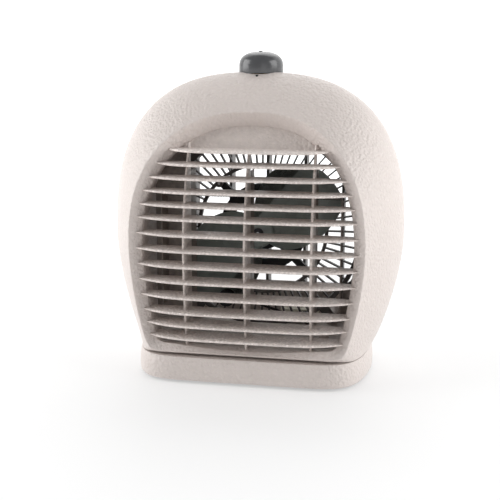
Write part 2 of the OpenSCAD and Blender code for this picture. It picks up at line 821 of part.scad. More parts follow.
module fan_guard() {
    ear_w = 9;
    boss = 3.4;
    front = guard_y + step_in;
    back = guard_y + guard_t - step_in;
    color(dark_colour) difference() {
        union() {
            guard_web();
            for (a = mount_angles) let (p = around(mount_r, a))
                bar_y(p[0], p[1], boss, front, back);
            for (p = guard_points) let (dx = p[0], dz = p[1] - fan_z) {
                arm_y(atan2(dz, dx), ear_w - 1, guard_out_r + 1, norm([dx, dz]), front, back);
                bar_y(p[0], p[1], ear_w / 2, guard_y, guard_y + guard_t);
            }
        }
        for (p = guard_points) bar_y(p[0], p[1], clear_r, guard_y - over, guard_y + guard_t + over);
        for (a = mount_angles) let (p = around(mount_r, a))
            bar_y(p[0], p[1], screw_r, guard_y - over, guard_y + guard_t + over);
    }
}

// Motor mount: a clamp ring and a larger ring on four arms screwed to the guard
module motor_mount() {
    clamp_t = 2.6;
    arm_w = 6;
    tab_y = guard_y + guard_t;
    arm_front = mount_y + step_in;
    color(black_colour) difference() {
        union() {
            ring_y(can_r + running_gap, can_r + clamp_t, mount_y, mount_y + mount_t + 4);
            ring_y(mount_in_r, mount_out_r, mount_y, mount_y + mount_t);
            for (a = mount_angles) {
                arm_y(a, arm_w, can_r + 1.4, mount_in_r + 1, arm_front, arm_back_y);
                arm_y(a, arm_w, mount_out_r - 1, mount_r + 3, arm_front, arm_back_y);
                arm_y(a, arm_w - 1, mount_r - 2.5, mount_r + 2.5, tab_y, mount_y + 2);
            }
        }
        for (a = mount_angles) let (p = around(mount_r, a))
            bar_y(p[0], p[1], clear_r, tab_y - over, mount_y + mount_t + over);
    }
}

// Heating element: mica boards behind the ribs, rails across their backs, and wires strung through them
board_xs = [-wire_end_x, -left_rib_x, 0, right_rib_x, wire_end_x];
function board_z(x) = abs(x) == wire_end_x ? [low_bar_z, high_bar_z + cross_bar_h] : [board_z0, board_z1];
wire_zs = [for (i = wire_rows) slat_z(i) - wire_drop];
module element_boards() {
    color(mica_colour) difference() {
        for (x = board_xs) let (z = board_z(x))
            translate([x - board_t / 2, board_front_y, z[0]])
                cube([board_t, board_back_y - board_front_y, z[1] - z[0]]);
        for (z = wire_zs) bar_x(wire_y, z, wire_r + running_gap, -wire_end_x - over, wire_end_x + over);
    }
}

module element_rails() {
    color(mica_colour) for (z = [low_bar_z, high_bar_z]) translate([-wire_end_x - board_t / 2, board_back_y, z])
        cube([2 * wire_end_x + board_t, rail_back_y - board_back_y, cross_bar_h]);
}

// A plate on the rails that closes the left-hand bay, as far as the left rib
baffle_x = 84;
baffle_z = 44;
baffle_t = 1;
module element_baffle() {
    color(mica_colour) translate([-baffle_x, rail_back_y, baffle_z])
        cube([baffle_x - left_rib_x, baffle_t, board_z1 - baffle_z]);
}

module heating_wires() {
    color(steel_colour) for (z = wire_zs) bar_x(wire_y, z, wire_r, -wire_end_x - 1.5, wire_end_x + 1.5);
}

// Thermal cut-out and a fuse in its sleeve, both behind the element's lower rail
cutout_x = -24;
cutout_r = 7;
cutout_t = 7;
tab_l = 7;
fuse_x = 24;
fuse_r = 2;
fuse_l = 14;
low_bar_mid_z = low_bar_z + cross_bar_h / 2;
module thermal_cutout() {
    color(black_colour) {
        bar_y(cutout_x, low_bar_mid_z, cutout_r, rail_back_y, rail_back_y + cutout_t);
        for (side = [-1, 1])
            translate([cutout_x + side * 4 - 1.5, rail_back_y + cutout_t - over, low_bar_mid_z])
                cube([3, tab_l + over, 0.8]);
    }
}

module thermal_fuse() {
    color(brass_colour)
        bar_x(rail_back_y + fuse_r, low_bar_mid_z, fuse_r, fuse_x - fuse_l / 2, fuse_x + fuse_l / 2);
}

// Terminal block and cable gland at the lower back
block_size = [34, 14, 12];
block_place = [14, 43, deck_z + wall + gap];
module terminal_block() {
    ways = 3;
    step = block_size[0] / ways;
    color([0.85, 0.83, 0.76]) translate(block_place) difference() {
        cube(block_size);
        for (k = [0 : ways - 1]) translate([(k + 0.5) * step, block_size[1] / 2, 5])
            cylinder(r = 2.2, h = block_size[2]);
        for (k = [0 : ways - 1]) translate([(k + 0.5) * step, -over, 4])
            rotate([-90, 0, 0]) cylinder(r = 2, h = block_size[1] + 2 * over);
    }
}

module cable_gland() {
    flange = 2;
    color(black_colour) difference() {
        union() {
            bar_y(gland_x, gland_z, gland_r, rear_y - 10, back_y);
            bar_y(gland_x, gland_z, gland_r + flange, rear_y - 10, rear_y - 7);
        }
        bar_y(gland_x, gland_z, cord_hole_r, rear_y - 10 - over, back_y + over);
    }
}

// A wire through a list of points, as straight runs with round joints
module wire_run(points, r) {
    for (i = [0 : len(points) - 2]) {
        v = points[i + 1] - points[i];
        turn = atan2(v[1], v[0]);
        tilt = acos(v[2] / norm(v));
        translate(points[i]) rotate([0, tilt, turn]) cylinder(r = r, h = norm(v), $fn = 8);
    }
    for (i = [1 : len(points) - 2]) translate(points[i]) sphere(r = r * 1.2, $fn = 8);
}

module wiring() {
    r = 1.1;
    side_x = 92;
    low_z = deck_z + 8;
    step = block_size[0] / 3;
    start = block_place + [step / 2, -0.2, 4];
    terminal_z = selector_top_z - selector_size[2] - terminal_l / 2;
    cutout_y = rail_back_y + cutout_t + tab_l;
    color(black_colour) wire_run(
        [start, [start[0], 36, low_z], [side_x, 34, 56], [side_x, 20, 150], [34, 16, terminal_z],
         [11.6, knob_y, terminal_z]], r);
    color(dark_colour) wire_run(
        [start + [step, 0, 0], [start[0] + step, 38, low_z], [42, 36, low_z], [42, 16, low_z],
         [42, cutout_y - 2, low_z + 12], [cutout_x + 6, cutout_y - 3, low_bar_mid_z]], r);
}

// Screws
module casing_screws() {
    color(steel_colour) for (p = casing_points)
        translate([p[0], boss_back_y, p[1]]) rotate([90, 0, 0]) screw(12);
}

module guard_screws() {
    color(steel_colour) for (p = guard_points)
        translate([p[0], guard_y, p[1]]) rotate([-90, 0, 0]) screw(16);
}

module plinth_screws() {
    color(steel_colour) for (p = plinth_points)
        translate([p[0], p[1], deck_z - deck_t]) screw(8);
}

module base_screws() {
    color(steel_colour) for (p = plate_points)
        translate([p[0], p[1], foot_h + 1]) screw(10);
}

module mount_screws() {
    color(steel_colour) for (a = mount_angles) let (p = around(mount_r, a))
        translate([p[0], arm_back_y, p[1]]) rotate([90, 0, 0]) screw(12);
}

front_casing();
rear_casing();
back_panel();
front_grille();
intake_frame();
intake_plates();
base_tray();
base_plate();
rubber_feet();
knob();
knob_pointer();
index_pip();
selector_body();
selector_nut();
selector_spindle();
fan_impeller();
fan_clip();
motor_shaft();
armature();
commutator();
motor_can();
field_magnets();
motor_end_cap();
front_bush();
rear_bush();
fan_guard();
motor_mount();
element_boards();
element_rails();
element_baffle();
heating_wires();
thermal_cutout();
thermal_fuse();
terminal_block();
cable_gland();
wiring();
casing_screws();
guard_screws();
plinth_screws();
base_screws();
mount_screws();
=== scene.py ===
"""Looks of a free-standing fan heater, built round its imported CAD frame. Lengths are in metres."""

import json
import math
from collections import namedtuple

import bmesh
import bpy
from mathutils import Matrix, Vector


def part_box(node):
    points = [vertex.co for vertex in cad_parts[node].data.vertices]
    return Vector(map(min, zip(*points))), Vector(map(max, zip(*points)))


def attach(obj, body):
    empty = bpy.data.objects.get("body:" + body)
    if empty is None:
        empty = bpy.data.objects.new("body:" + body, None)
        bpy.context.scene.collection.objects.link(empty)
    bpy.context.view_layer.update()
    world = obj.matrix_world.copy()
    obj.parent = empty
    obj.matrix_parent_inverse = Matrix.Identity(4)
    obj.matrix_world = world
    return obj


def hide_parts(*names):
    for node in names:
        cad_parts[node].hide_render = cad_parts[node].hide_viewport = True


MM = 0.001

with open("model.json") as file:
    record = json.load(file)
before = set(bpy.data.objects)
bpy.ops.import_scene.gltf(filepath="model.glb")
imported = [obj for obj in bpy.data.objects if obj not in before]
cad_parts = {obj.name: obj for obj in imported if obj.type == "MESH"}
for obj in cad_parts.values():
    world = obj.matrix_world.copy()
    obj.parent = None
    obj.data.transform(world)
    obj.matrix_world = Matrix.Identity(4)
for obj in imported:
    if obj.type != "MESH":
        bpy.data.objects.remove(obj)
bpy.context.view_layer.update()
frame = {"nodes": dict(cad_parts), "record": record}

# Driving sizes, read from the frame
casing_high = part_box("front_casing")[1]
base_low, base_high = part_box("base_tray")
knob_low, knob_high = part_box("knob")
half_w = casing_high.x
top_z = casing_high.z
deck_z = base_high.z
front_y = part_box("front_grille")[0].y
back_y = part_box("back_panel")[1].y
part_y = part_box("rear_casing")[0].y
wall = 2.4 * MM

# Places along the depth
crease_y = front_y + 9.4 * MM
widest_y = 0.0
rear_y = back_y - 5 * MM

# Outlines of the casing: half width, middle height, rise, top power, flank reach, floor, corner softness
Outline = namedtuple("Outline", "half mid rise power reach floor soft")
FLANK_POWER = 1.6
FOOT_SOFT = 0.15 * MM
belly = Outline(half_w, 116 * MM, top_z - 116 * MM, 2.6, 206 * MM, deck_z, FOOT_SOFT)
crease = Outline(half_w - 28.2 * MM, 109.6 * MM, top_z - 140.3 * MM, 2.4, 214 * MM,
                 deck_z + 2.5 * MM, 12 * MM)
rear = Outline(half_w - 25 * MM, 115 * MM, top_z - 145 * MM, 2.5, 198 * MM, deck_z, FOOT_SOFT)
intake = Outline(86 * MM, 115 * MM, 78 * MM, 2.5, 198 * MM, 54 * MM, 12 * MM)

# Steps along one half of an outline
BOTTOM_STEPS = 14
FLANK_STEPS = 60
TOP_STEPS = 64
CORNER_RUN = 40 * MM

# Shape of the casing between its outlines, and how soon its foot settles to the floor behind the rim
BULGE_POWER = 1.6
SETTLE_POWER = 14
SETTLE_LOW = 12 * MM
SETTLE_HIGH = 30 * MM
REAR_POWER = 2.7
LEAN = 28.3 * MM
LEAN_START_Z = 130 * MM
LEAN_POWER = 2.5

# Bezel band round the grille, with its rim in front and its throat behind
BAND_W = 9 * MM
BAND_DROP = 8 * MM
BAND_T = 2 * MM
BAND_BACK_W = 2.2 * MM
BAND_EDGE_W = 0.2 * MM
BAND_EDGE_RISE = 0.1 * MM
BAND_EDGE_DROP = 0.4 * MM
BAND_FLOOR = 0.25
BAND_CROWN = 1.3
BAND_STOPS = (0.25, 0.5, 0.75, 0.9)
EDGE_FLOOR = 0.2
RIM_ROUND = 1 * MM
RIM_STEPS = 8
RIM_BACK_W = 1.4 * MM
RIM_T = 3.6 * MM
THROAT = 15 * MM
SHALLOW_THROAT = 3 * MM
THROAT_DRAFT = 0.6 * MM
THROAT_WALL = 2.6 * MM

# The band's lowest stretch, which is steeper and bowed
LOW_BAND_RISE = 0.4 * MM
LOW_BAND_BOW = 4 * MM
LOW_BAND_BOW_HALF = 60 * MM
LOW_BAND_SHARE = 0.35
LOW_BAND_H = 12 * MM

# Base
BASE_MID_Y = (base_low.y + base_high.y) / 2
BASE_HALF_D = (base_high.y - base_low.y) / 2
BASE_POWER = 8
BASE_TAPER = 0.16
BASE_WAIST = 1.6 * MM
FOOT_DRAW_IN = 1.6 * BASE_WAIST
FLARE_H = 16 * MM


def mix(a, b, t):
    return a + (b - a) * t


def clamp(t):
    return min(1.0, max(0.0, t))


def quarter(steps, first=0):
    """Angles from 0 to a quarter turn in equal steps, from the step named first."""
    return [math.pi / 2 * j / steps for j in range(first, steps + 1)]


def circle(sides):
    """Points round a circle of radius 1."""
    return [(math.cos(2 * math.pi * i / sides), math.sin(2 * math.pi * i / sides)) for i in range(sides)]


def soft_max(a, b, k):
    """The larger of two values, with a rounded change-over."""
    return (a + b + math.sqrt((a - b) ** 2 + k * k)) / 2


def inset(o, m, floor_share=1.0, top_share=1.0):
    """The outline o drawn in by m at its sides, and by shares of m at its floor and its top."""
    return o._replace(half=o.half - m, rise=o.rise - m * top_share, floor=o.floor + m * floor_share)


def band_line(m):
    """The rim's crease drawn in by m across the bezel band."""
    return inset(crease, m, BAND_FLOOR, BAND_CROWN)


def flank_x(o, d):
    """Half width of an outline at a drop d below its middle."""
    return o.half * (1 - (d / o.reach) ** FLANK_POWER) ** (1 / FLANK_POWER)


def crown_x(o, h):
    """Half width of an outline at a height h above its middle."""
    return o.half * max(0.0, 1 - (h / o.rise) ** o.power) ** (1 / o.power)


def width_at(o, z):
    return crown_x(o, z - o.mid) if z > o.mid else flank_x(o, o.mid - z)


def top_at(o, x):
    return o.mid + o.rise * max(0.0, 1 - (abs(x) / o.half) ** o.power) ** (1 / o.power)


def ring(o):
    """A closed outline of (x, z) points, from the middle of the floor round by the right-hand side."""
    deep = o.mid - o.floor + CORNER_RUN
    floor_z = soft_max(o.mid - deep, o.floor, o.soft)
    half = [(flank_x(o, deep) * i / BOTTOM_STEPS, floor_z) for i in range(BOTTOM_STEPS)]
    for i in range(FLANK_STEPS, 0, -1):
        d = deep * i / FLANK_STEPS
        half.append((flank_x(o, d), soft_max(o.mid - d, o.floor, o.soft)))
    for i in range(TOP_STEPS + 1):
        q = math.pi / 2 * i / TOP_STEPS
        x = o.half * max(0.0, math.cos(q)) ** (2 / o.power)
        half.append((x, o.mid + o.rise * math.sin(q) ** (2 / o.power)))
    return half + [(-x, z) for x, z in half[-2:0:-1]]


def crease_depth(z):
    """Depth of the rim's crease, which leans back near the top."""
    t = max(0.0, (z - LEAN_START_Z) / (crease.mid + crease.rise - LEAN_START_Z))
    return crease_y + LEAN * t ** LEAN_POWER


def rim_depth(z, m):
    """Depth of the rim beside a point at height z on the band, drawn in by m."""
    o = band_line(m)
    return crease_depth(o.mid + (z - o.mid) * crease.rise / o.rise if z > o.mid else z)


def base_half(y, m=0.0):
    """Half width of the base at depth y, drawn in by m."""
    t = min(1.0, abs(y - BASE_MID_Y) / (BASE_HALF_D - m))
    return (base_high.x - m) * (1 - BASE_TAPER * t * t) * (1 - t ** BASE_POWER) ** (1 / BASE_POWER)


def flared(row, corner_x, corner_y):
    """Spreads or draws in the foot of a casing row, so that it meets the top edge of the base."""
    flare = max(-FOOT_DRAW_IN, base_half(corner_y, BASE_WAIST) - corner_x)
    out = []
    for x, y, z in row:
        low = max(0.0, 1 - (z - deck_z) / FLARE_H)
        out.append((x * (1 + flare / corner_x * low * low), y, z))
    return out


CREASE_RING = ring(crease)


def front_row(shares, m, back=0.0):
    """A row of the front casing drawn in by m; shares run from 0 at the crease to 1 at the widest section."""
    row = []
    for s, edge, c, b in zip(shares, CREASE_RING, ring(inset(crease, m, EDGE_FLOOR)), ring(inset(belly, m))):
        grow = 1 - (1 - s) ** BULGE_POWER
        z = mix(c[1], b[1], grow)
        # Near the foot the height settles at once, so that no ridge is left behind the rim's corner
        settle = 1 - (1 - s) ** SETTLE_POWER
        low = clamp((deck_z + SETTLE_HIGH - z) / (SETTLE_HIGH - SETTLE_LOW))
        z = mix(z, mix(c[1], b[1], settle), low)
        row.append((mix(c[0], b[0], grow), mix(crease_depth(edge[1]) + back, widest_y, s), z))
    s = min(shares)
    grow = 1 - (1 - s) ** BULGE_POWER
    corner_x = mix(width_at(crease, crease.floor), width_at(belly, belly.floor), grow)
    return flared(row, corner_x, mix(crease_y + back, widest_y, s))


def narrowing(y):
    """How far the casing has narrowed at depth y, from 0 at the widest section to 1 at the rear."""
    return ((y - widest_y) / (rear_y - widest_y)) ** REAR_POWER


def rear_row(y, m):
    """A row behind the widest section, at depth y and drawn in by m."""
    t = narrowing(y)
    pairs = zip(ring(inset(belly, m)), ring(inset(rear, m)))
    row = [(mix(b[0], r[0], t), y, mix(b[1], r[1], t)) for b, r in pairs]
    return flared(row, mix(width_at(belly, belly.floor), width_at(rear, rear.floor), t), y)


def flat_row(o, y):
    return [(x, y, z) for x, z in ring(o)]


def crease_row(m, d):
    """A row along the rim's crease, drawn in by m and set back by d; steeper and bowed at the floor."""
    o = band_line(m)
    row = []
    for c, (x, z) in zip(CREASE_RING, ring(o)):
        low = clamp(1 - (z - o.floor) / LOW_BAND_H)
        bow = LOW_BAND_BOW * min(1.0, (x / LOW_BAND_BOW_HALF) ** 2)
        z += (LOW_BAND_RISE + bow) * low * m / BAND_W
        row.append((x, crease_depth(c[1]) + d * mix(1, LOW_BAND_SHARE, low), z))
    return row


def throat_row(m):
    """A row at the back of the bezel's throat, deep at the sides and shallow behind the leaning top."""
    deep_y = crease_y + BAND_DROP + THROAT
    shallow = BAND_DROP + SHALLOW_THROAT
    return [(p[0], max(crease_depth(c[1]) + shallow, deep_y), p[1])
            for c, p in zip(CREASE_RING, ring(band_line(m)))]


# Mesh helpers
WELD = 0.002 * MM
SHARP = math.radians(40)


def skin(rows, closed=True):
    """A sheet through rings of equal length, as vertices and faces; closed joins the last ring to the first."""
    n = len(rows[0])
    spans = len(rows) if closed else len(rows) - 1
    faces = []
    for j in range(spans):
        a = j * n
        b = (j + 1) % len(rows) * n
        for i in range(n):
            k = (i + 1) % n
            faces.append((a + i, a + k, b + k, b + i))
    return [p for r in rows for p in r], faces


def capped(rows):
    """A sheet through rings of equal length, closed at both ends."""
    verts, faces = skin(rows, closed=False)
    n = len(rows[0])
    return verts, faces + [tuple(range(n)), tuple(range(len(verts) - 1, len(verts) - n - 1, -1))]


def join(*parts):
    """Several (vertices, faces) pairs as one."""
    verts = []
    faces = []
    for v, f in parts:
        shift = len(verts)
        verts += v
        faces += [tuple(i + shift for i in face) for face in f]
    return verts, faces


def mesh_object(name, verts, faces):
    """A smooth-shaded mesh object with its normals outward and its hard edges kept."""
    mesh = bpy.data.meshes.new(name)
    mesh.from_pydata([tuple(v) for v in verts], [], faces)
    bm = bmesh.new()
    bm.from_mesh(mesh)
    bmesh.ops.remove_doubles(bm, verts=bm.verts, dist=WELD)
    bmesh.ops.recalc_face_normals(bm, faces=bm.faces)
    bm.to_mesh(mesh)
    bm.free()
    mesh.shade_smooth()
    mesh.set_sharp_from_angle(angle=SHARP)
    obj = bpy.data.objects.new(name, mesh)
    bpy.context.scene.collection.objects.link(obj)
    return obj


def settle_modifiers(obj):
    """Turns an object's modifiers into plain mesh."""
    bpy.context.view_layer.update()
    done = bpy.data.meshes.new_from_object(obj.evaluated_get(bpy.context.evaluated_depsgraph_get()))
    obj.modifiers.clear()
    obj.data = done
    done.shade_smooth()
    done.set_sharp_from_angle(angle=SHARP)


def bar(p, q, r, sides=48):
    """A round bar from p to q, as vertices and faces."""
    p = Vector(p)
    q = Vector(q)
    turn = (q - p).to_track_quat("Z", "Y")
    spokes = [turn @ Vector((r * c, r * s, 0)) for c, s in circle(sides)]
    return capped([[tuple(end + spoke) for spoke in spokes] for end in (p, q)])


def cut(obj, *tools):
    """Takes (vertices, faces) solids out of an object."""
    for verts, faces in tools:
        tool = mesh_object("cutter", verts, faces)
        mod = obj.modifiers.new("cut", "BOOLEAN")
        mod.object = tool
        mod.operation = "DIFFERENCE"
        mod.solver = "EXACT"
        settle_modifiers(obj)
        bpy.data.objects.remove(tool)


def finish_piece(obj, material, body, slot, *replaced):
    """Gives a piece its material and the body it rides on, and hides the CAD nodes it stands for. The slot is
    not used.
    """
    obj.data.materials.clear()
    obj.data.materials.append(material)
    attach(obj, body)
    if replaced:
        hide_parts(*replaced)
    return obj


# Materials
class Nodes:
    """A short way to write a material's node tree."""

    def __init__(self, name):
        self.material = bpy.data.materials.new(name)
        self.material.use_nodes = True
        self.tree = self.material.node_tree
        self.shader = self.tree.nodes["Principled BSDF"]
        geometry = self.add("ShaderNodeNewGeometry")
        self.place = geometry.outputs["Position"]
        self.edges = geometry.outputs["Pointiness"]

    def add(self, kind, **values):
        node = self.tree.nodes.new(kind)
        for key, value in values.items():
            setattr(node, key, value)
        return node

    def link(self, a, b):
        self.tree.links.new(a, b)

    def noise(self, scale, detail=3.0, roughness=0.55):
        node = self.add("ShaderNodeTexNoise")
        self.link(self.place, node.inputs["Vector"])
        node.inputs["Scale"].default_value = scale
        node.inputs["Detail"].default_value = detail
        node.inputs["Roughness"].default_value = roughness
        return node.outputs["Fac"]

    def pebbles(self, scale, smooth=0.6):
        node = self.add("ShaderNodeTexVoronoi", feature="SMOOTH_F1")
        self.link(self.place, node.inputs["Vector"])
        node.inputs["Scale"].default_value = scale
        node.inputs["Smoothness"].default_value = smooth
        return node.outputs["Distance"]

    def ramp(self, source, stops):
        node = self.add("ShaderNodeValToRGB")
        self.link(source, node.inputs["Fac"])
        while len(node.color_ramp.elements) < len(stops):
            node.color_ramp.elements.new(0.5)
        for element, (place, colour) in zip(node.color_ramp.elements, stops):
            element.position = place
            element.color = (*colour, 1)
        return node.outputs["Color"]

    def math(self, operation, a, b):
        node = self.add("ShaderNodeMath", operation=operation)
        for value, socket in zip((a, b), node.inputs):
            if isinstance(value, float):
                socket.default_value = value
            else:
                self.link(value, socket)
        return node.outputs["Value"]

    def blend(self, a, b, share):
        """A colour between a and b; the mix node keeps its colours in sockets 6 and 7, and in output 2."""
        node = self.add("ShaderNodeMix", data_type="RGBA")
        self.link(share, node.inputs[0])
        self.link(a, node.inputs[6])
        self.link(b, node.inputs[7])
        return node.outputs[2]

    def worn(self, colour, light):
        """A colour that is rubbed lighter along its raised edges."""
        wear = self.ramp(self.edges, [(0.51, (0, 0, 0)), (0.64, (1, 1, 1))])
        rubbed = self.ramp(self.noise(scale=150, detail=4), [(0.3, light), (0.7, shade(light, 0.85))])
        return self.blend(colour, rubbed, wear)

    def range(self, source, low, high):
        node = self.add("ShaderNodeMapRange")
        self.link(source, node.inputs["Value"])
        node.inputs["To Min"].default_value = low
        node.inputs["To Max"].default_value = high
        return node.outputs["Result"]

    def bump(self, height, distance, strength=1.0):
        node = self.add("ShaderNodeBump")
        self.link(height, node.inputs["Height"])
        node.inputs["Distance"].default_value = distance
        node.inputs["Strength"].default_value = strength
        self.link(node.outputs["Normal"], self.shader.inputs["Normal"])

    def colour(self, source):
        self.link(source, self.shader.inputs["Base Color"])

    def roughness(self, source):
        self.link(source, self.shader.inputs["Roughness"])

    def set(self, **values):
        for key, value in values.items():
            self.shader.inputs[key.replace("_", " ")].default_value = value


def shade(colour, k):
    """A colour made k times as bright."""
    return tuple(c * k for c in colour)


def grained_plastic(name, colour, grain, painted_grain_shade):
    """Moulded plastic with a fine pebble grain, whose colour is darkened along the grain's height as painted
    shade.
    """
    n = Nodes(name)
    cells = n.pebbles(scale=440)
    fine = n.noise(scale=1500, detail=2)
    cloud = n.noise(scale=26, detail=4)
    height = n.math("ADD", cells, n.math("MULTIPLY", fine, 0.5))
    # Painted shade in the grain, mixed with a cloudy random tone: the colour darkens as this pattern rises.
    grain_shade_and_tone = n.math("ADD", height, n.math("MULTIPLY", cloud, 0.25))
    n.colour(n.worn(n.ramp(grain_shade_and_tone, [(0.45, colour), (0.95, shade(colour, 1 - painted_grain_shade))]), shade(colour, 1.04)))
    n.roughness(n.range(fine, 0.28, 0.44))
    n.bump(height, grain)
    n.set(Specular_IOR_Level=0.5)
    return n.material


def plain_plastic(name, colour, rough=(0.35, 0.55), mottle=0.12):
    """Moulded plastic with faint flow marks, a spark-eroded texture and rubbed edges."""
    n = Nodes(name)
    cloud = n.noise(scale=60, detail=4)
    fine = n.noise(scale=2200, detail=2)
    flow = n.ramp(cloud, [(0.3, shade(colour, 1 - mottle)), (0.7, shade(colour, 1 + mottle))])
    n.colour(n.worn(flow, shade(colour, 1.5)))
    n.roughness(n.range(cloud, *rough))
    n.bump(fine, 0.04 * MM, strength=0.6)
    return n.material


def metal(name, colour, rough=(0.22, 0.42), brushed=0.03 * MM):
    """Bare or plated metal with machining marks and bright edges."""
    n = Nodes(name)
    cloud = n.noise(scale=90, detail=4)
    marks = n.noise(scale=3000, detail=2)
    n.colour(n.worn(n.ramp(cloud, [(0.3, shade(colour, 0.85)), (0.75, colour)]), shade(colour, 1.15)))
    n.roughness(n.range(marks, *rough))
    n.bump(marks, brushed, strength=0.5)
    n.set(Metallic=1.0)
    return n.material


def mica_sheet(name, colour):
    """Laminated mica with flakes."""
    n = Nodes(name)
    flakes = n.pebbles(scale=260, smooth=0.1)
    cloud = n.noise(scale=40, detail=5)
    n.colour(n.ramp(n.math("MULTIPLY", flakes, cloud), [(0.05, shade(colour, 0.7)), (0.4, colour)]))
    n.roughness(n.range(flakes, 0.3, 0.6))
    n.bump(flakes, 0.05 * MM, strength=0.5)
    return n.material


def rubber(name, colour):
    """Matt rubber with faint patches and a fine texture."""
    n = Nodes(name)
    cloud = n.noise(scale=120, detail=4)
    n.colour(n.ramp(cloud, [(0.3, shade(colour, 0.7)), (0.7, shade(colour, 1.3))]))
    n.roughness(n.range(cloud, 0.65, 0.9))
    n.bump(n.noise(scale=1800, detail=2), 0.06 * MM, strength=0.7)
    return n.material


SHELL_COLOUR = (0.71, 0.64, 0.605)
GRILLE_COLOUR = (0.76, 0.685, 0.645)
# The slats' colour is a much lighter copy of the grille's plastic: painted light on the slat tops and rib
# edges.
LIT_SLAT_COLOUR = (0.97, 0.88, 0.83)
materials = {
    "shell": grained_plastic("shell", SHELL_COLOUR, grain=0.75 * MM, painted_grain_shade=0.05),
    "grille": grained_plastic("grille", GRILLE_COLOUR, grain=0.75 * MM, painted_grain_shade=0.3),
    "dark_plastic": plain_plastic("dark_plastic", (0.09, 0.079, 0.073)),
    "black_plastic": plain_plastic("black_plastic", (0.006, 0.006, 0.006), rough=(0.5, 0.7)),
    "knob_plastic": plain_plastic("knob_plastic", (0.075, 0.076, 0.08), rough=(0.16, 0.24), mottle=0.05),
    # The fan's colour is much lighter than the blades' own dark grey-green: painted light for the dim inside of
    # the casing.
    "fan_plastic": plain_plastic("fan_plastic", (0.32, 0.365, 0.345), rough=(0.22, 0.32), mottle=0.04),
    "rubber": rubber("rubber", (0.02, 0.02, 0.02)),
    "steel": metal("steel", (0.6, 0.6, 0.61)),
    "motor_steel": plain_plastic("motor_steel", (0.012, 0.012, 0.013), rough=(0.4, 0.55)),
    "brass": metal("brass", (0.66, 0.48, 0.2)),
    "magnet": plain_plastic("magnet", (0.04, 0.04, 0.042), rough=(0.5, 0.7)),
    "copper_winding": metal("copper_winding", (0.5, 0.2, 0.09)),
    "mica": mica_sheet("mica", (0.33, 0.28, 0.25)),
    "terminal": plain_plastic("terminal", (0.68, 0.65, 0.56)),
    "wire_skin": rubber("wire_skin", (0.02, 0.017, 0.016)),
}
# The slats and ribs take this lighter copy of the grille's plastic, with painted light in its colour.
painted_lit_slat_plastic = grained_plastic("painted_lit_slat_plastic", LIT_SLAT_COLOUR, grain=0.9 * MM, painted_grain_shade=0.35)
element_wire = metal("element_wire", (0.16, 0.15, 0.145), rough=(0.35, 0.55))

# Each CAD node takes the material of its slot
for part in frame["record"]["subparts"]:
    slots = frame["nodes"][part["node"]].data.materials
    slots.clear()
    slots.append(materials[part["material_slot"]])


# Casing
FRONT_ROWS = 34
ROW_SPREAD = 1.3
INNER_STEP = 4
INNER_SETBACK = 3 * MM
MID_ROWS = 12
REAR_ROWS = 22
SEAM = 0.5 * MM
BUSH_R = 5.1 * MM
KNOB_R = (knob_high.x - knob_low.x) / 2
KNOB_GAP = 0.6 * MM
SEAT_R = KNOB_R + KNOB_GAP
knob_y = (knob_low.y + knob_high.y) / 2
seat_z = knob_low.z - KNOB_GAP


def rim_shares():
    """How far along the casing the rounded rim ends, for each point of the outline."""
    shares = []
    for c, b in zip(CREASE_RING, ring(belly)):
        side = math.hypot(b[0] - c[0], b[1] - c[1]) * BULGE_POWER
        shares.append(RIM_ROUND / math.hypot(side, widest_y - crease_depth(c[1])))
    return shares


RIM_SHARES = rim_shares()
FIRST_ROW = front_row(RIM_SHARES, 0)


def front_casing():
    """The front half of the casing, from the rounded rim to the seam, with the knob's and the pip's holes."""
    outer = []
    for j in range(FRONT_ROWS + 1):
        t = (j / FRONT_ROWS) ** ROW_SPREAD
        outer.append(front_row([mix(s, 1, t) for s in RIM_SHARES], 0))
    depths = [mix(widest_y, part_y - SEAM, j / MID_ROWS) for j in range(1, MID_ROWS + 1)]
    outer += [rear_row(y, 0) for y in depths]
    edge = [rear_row(part_y, SEAM), rear_row(part_y, wall)]
    inner = [rear_row(y, wall) for y in depths[::-1]]
    for j in range(FRONT_ROWS, -1, -INNER_STEP):
        inner.append(front_row([mix(s, 1, j / FRONT_ROWS) for s in RIM_SHARES], wall, INNER_SETBACK))
    obj = mesh_object("front_casing_shell", *skin(outer + edge + inner))
    pip_low, pip_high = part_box("index_pip")
    pip_y = (pip_low.y + pip_high.y) / 2
    cut(obj,
        bar((0, knob_y, seat_z - wall), (0, knob_y, top_z + wall), SEAT_R),
        bar((0, pip_y, pip_low.z - wall), (0, pip_y, pip_high.z + wall), pip_high.x))
    return obj


def knob_seat(sides=96):
    """The round flat that the knob turns on, with a hole for the selector's bush."""
    edge = 0.4 * MM
    profile = [(BUSH_R, seat_z - wall), (BUSH_R, seat_z), (SEAT_R - edge, seat_z)]
    profile += [(SEAT_R, seat_z - edge), (SEAT_R, seat_z - wall)]
    rows = [[(r * c, knob_y + r * s, z) for c, s in circle(sides)] for r, z in profile]
    return mesh_object("knob_seat", *skin(rows))


HALVINGS = 40


def shell_half(y, z, m):
    """Half width of the rear casing's surface, drawn in by m, at depth y and height z."""
    return mix(width_at(inset(belly, m), z), width_at(inset(rear, m), z), narrowing(y))


def well_end(x, z, m):
    """Depth at which a line along Y leaves the rear casing's surface drawn in by m."""
    low, high = part_y, rear_y
    for _ in range(HALVINGS):
        y = (low + high) / 2
        if shell_half(y, z, m) > abs(x):
            low = y
        else:
            high = y
    return low


def screw_well(x, z, r_in, r_out, floor_y, sides=48):
    """A tube that lines a screw hole up to the middle of the casing's wall."""
    rows = []
    for r, deep in ((r_in, False), (r_in, True), (r_out, True), (r_out, False)):
        row = []
        for c, s in circle(sides):
            px, pz = x + r * c, z + r * s
            row.append((px, floor_y if deep else well_end(px, pz, wall / 2), pz))
        rows.append(row)
    return skin(rows)


